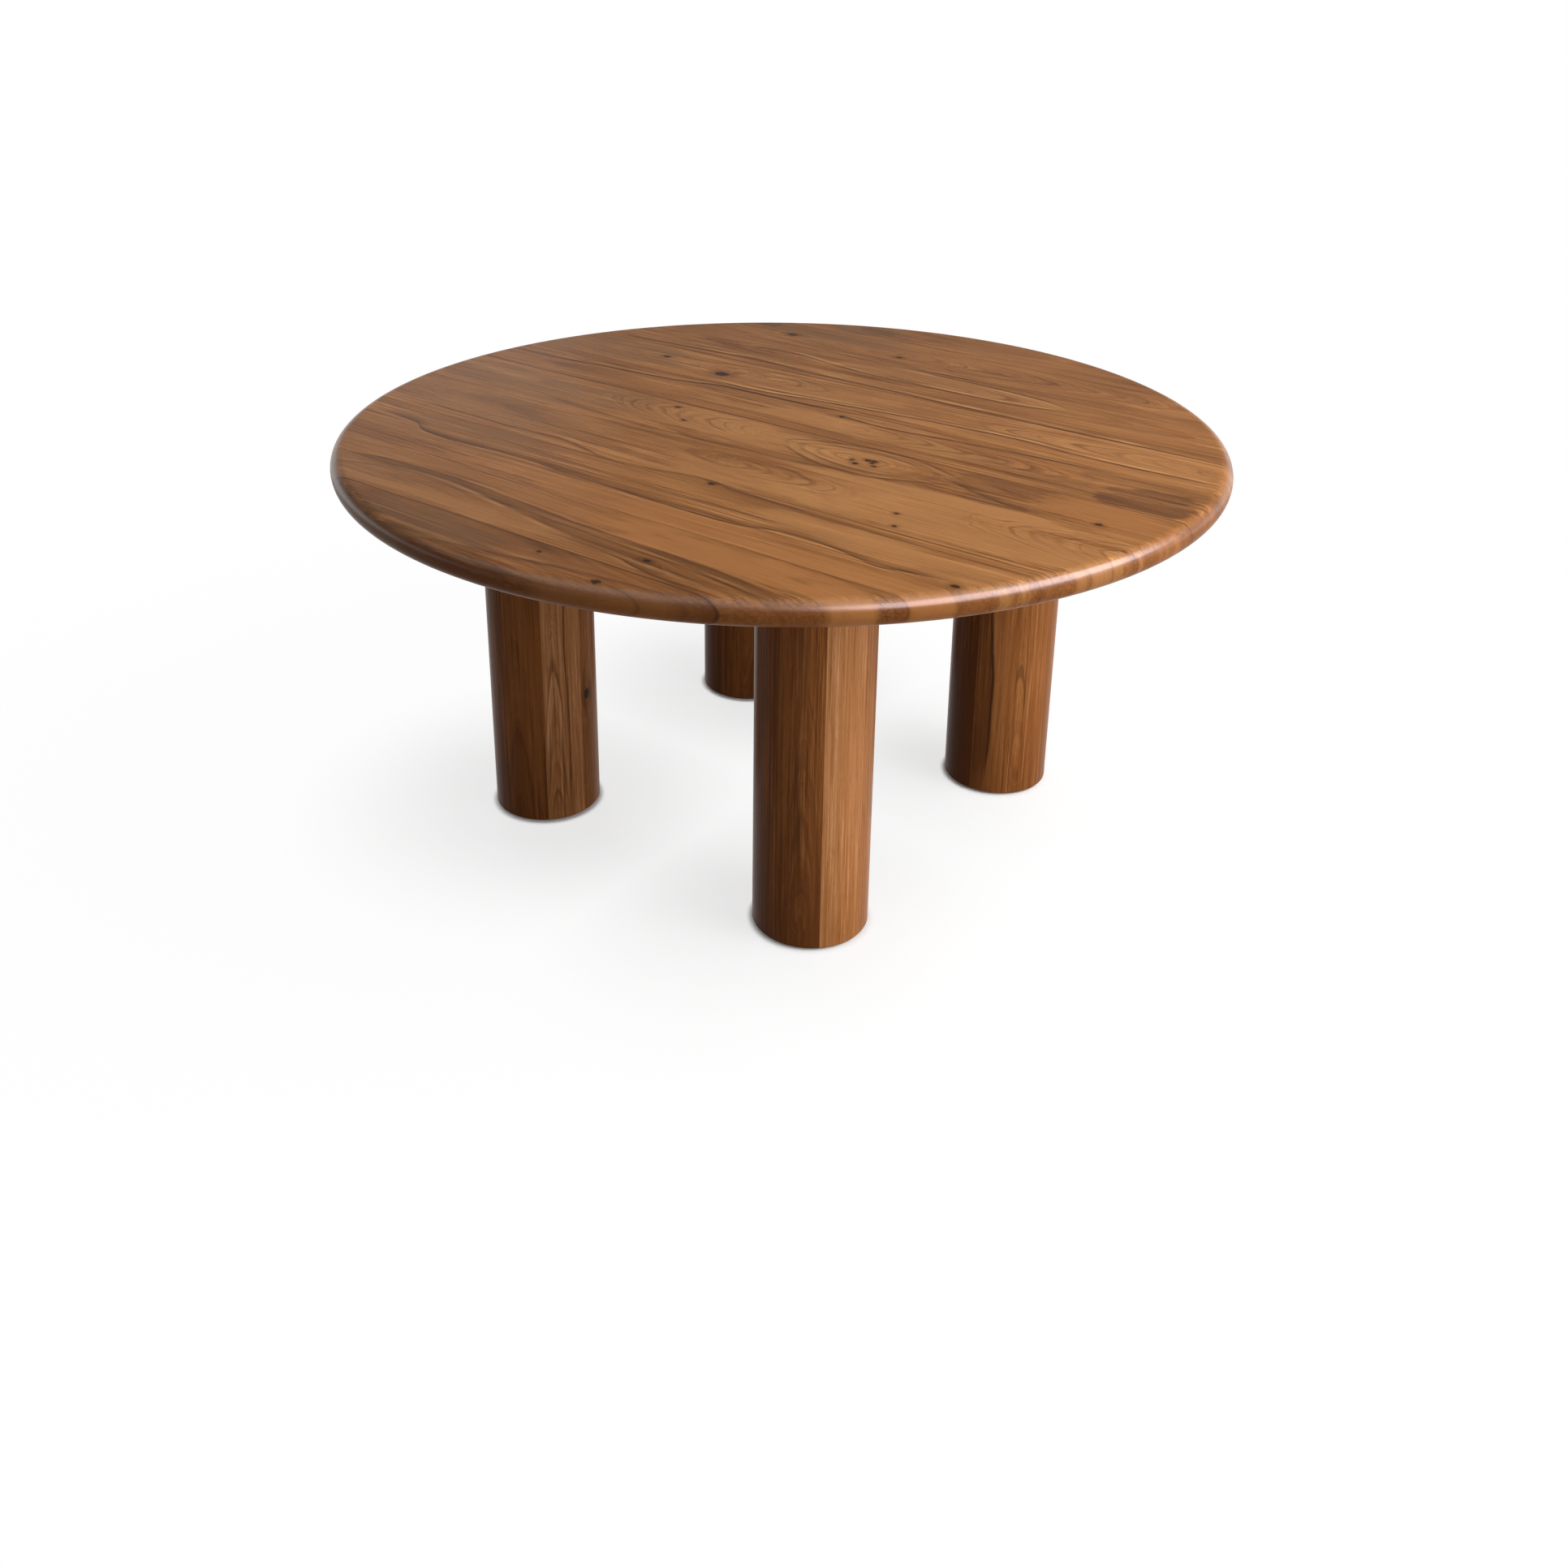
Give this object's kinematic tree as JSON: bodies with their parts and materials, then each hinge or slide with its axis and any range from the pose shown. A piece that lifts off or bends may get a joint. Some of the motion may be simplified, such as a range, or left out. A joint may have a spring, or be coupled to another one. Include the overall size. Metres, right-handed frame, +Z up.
{
  "type": "round dining table",
  "caption": "Round dining table with an edge-glued solid-wood top, a full round edge and coopered column legs on screw-out levelling glides.",
  "frame": {"origin": "on the floor, below the middle of the top", "axes": "+Z up, +X along the boards of the top, the legs at 45 degrees between X and Y"},
  "size_m": [1.6, 1.5999, 0.75],
  "materials": {
    "walnut_top": "satin oiled walnut",
    "walnut_leg": "satin oiled walnut, grain upright",
    "tenon_wood": "plain beech",
    "plug_wood": "sealed birch plywood",
    "black_steel": "fine black powder coat",
    "bolt_steel": "black oxide",
    "zinc_steel": "zinc plated",
    "insert_brass": "plain brass",
    "glide_nylon": "black nylon"
  },
  "bodies": {
    "table": {"board_tenons": "tenon_wood", "channel_bolts": "bolt_steel", "channel_inserts": "insert_brass", "channel_left": "black_steel", "channel_middle": "black_steel", "channel_right": "black_steel", "leg_1_foot_insert": "zinc_steel", "leg_1_foot_plug": "plug_wood", "leg_1_plate": "black_steel", "leg_1_staves": "walnut_leg", "leg_1_top_plug": "plug_wood", "leg_2_foot_insert": "zinc_steel", "leg_2_foot_plug": "plug_wood", "leg_2_plate": "black_steel", "leg_2_staves": "walnut_leg", "leg_2_top_plug": "plug_wood", "leg_3_foot_insert": "zinc_steel", "leg_3_foot_plug": "plug_wood", "leg_3_plate": "black_steel", "leg_3_staves": "walnut_leg", "leg_3_top_plug": "plug_wood", "leg_4_foot_insert": "zinc_steel", "leg_4_foot_plug": "plug_wood", "leg_4_plate": "black_steel", "leg_4_staves": "walnut_leg", "leg_4_top_plug": "plug_wood", "plate_bolts": "bolt_steel", "plate_inserts": "insert_brass", "plate_screws": "zinc_steel", "top_board_01": "walnut_top", "top_board_02": "walnut_top", "top_board_03": "walnut_top", "top_board_04": "walnut_top", "top_board_05": "walnut_top", "top_board_06": "walnut_top", "top_board_07": "walnut_top", "top_board_08": "walnut_top", "top_board_09": "walnut_top", "top_board_10": "walnut_top"},
    "glide_1": {"leg_1_glide_stem": "zinc_steel", "leg_1_glide_base": "glide_nylon"},
    "glide_2": {"leg_2_glide_stem": "zinc_steel", "leg_2_glide_base": "glide_nylon"},
    "glide_3": {"leg_3_glide_stem": "zinc_steel", "leg_3_glide_base": "glide_nylon"},
    "glide_4": {"leg_4_glide_stem": "zinc_steel", "leg_4_glide_base": "glide_nylon"}
  },
  "joints": [
    {"name": "glide_1_screw_out", "type": "slide", "parent": "table", "child": "glide_1", "axis": [0, 0, -1], "range_m": [0, 0.012]},
    {"name": "glide_2_screw_out", "type": "slide", "parent": "table", "child": "glide_2", "axis": [0, 0, -1], "range_m": [0, 0.012]},
    {"name": "glide_3_screw_out", "type": "slide", "parent": "table", "child": "glide_3", "axis": [0, 0, -1], "range_m": [0, 0.012]},
    {"name": "glide_4_screw_out", "type": "slide", "parent": "table", "child": "glide_4", "axis": [0, 0, -1], "range_m": [0, 0.012]}
  ]
}
